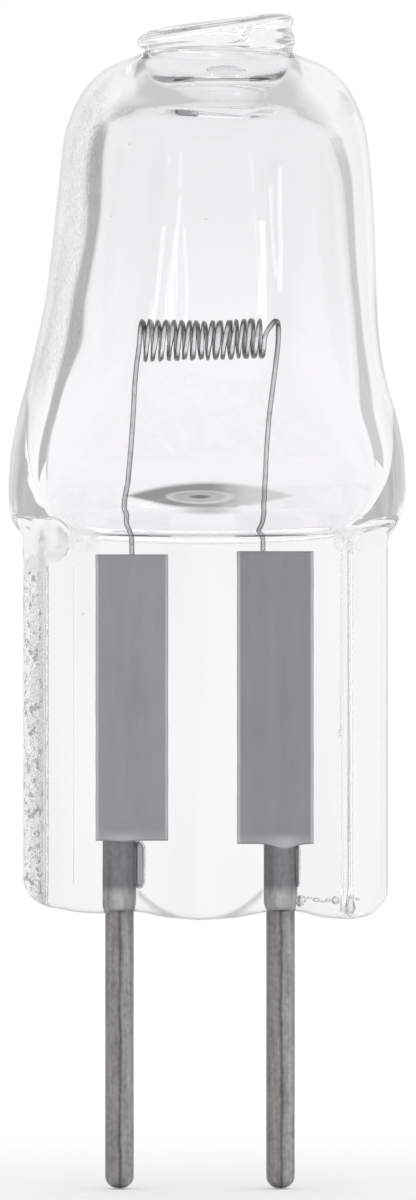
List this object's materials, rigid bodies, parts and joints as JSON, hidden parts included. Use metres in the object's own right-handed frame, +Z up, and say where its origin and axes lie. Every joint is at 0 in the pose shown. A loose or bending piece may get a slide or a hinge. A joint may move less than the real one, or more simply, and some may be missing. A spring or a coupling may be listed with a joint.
{
  "type": "halogen capsule bulb",
  "caption": "Clear quartz capsule bulb with a coiled filament, a sealed exhaust tip, and a flat pinched seal that holds foils and stiff contact pins for a small lamp holder.",
  "frame": {"origin": "midway between the contact pins, on the lowest point of the glass, where the bulb seats on its holder", "axes": "+Z up to the sealed tip with the pins along -Z, +X along the coil from the left pin to the right pin, -Y to the front, where the foils lie ahead of the pins"},
  "size_m": [0.0099, 0.0082, 0.0293],
  "materials": {
    "quartz": "clear, fire-polished, pressed at the pinch",
    "tungsten": "dull drawn wire",
    "foil_metal": "satin rolled foil",
    "pin_metal": "satin drawn wire with lengthwise marks"
  },
  "bodies": {
    "root": {"glass_envelope": "quartz", "filament": "tungsten", "left_foil": "foil_metal", "right_foil": "foil_metal", "left_pin": "pin_metal", "right_pin": "pin_metal"}
  },
  "joints": []
}
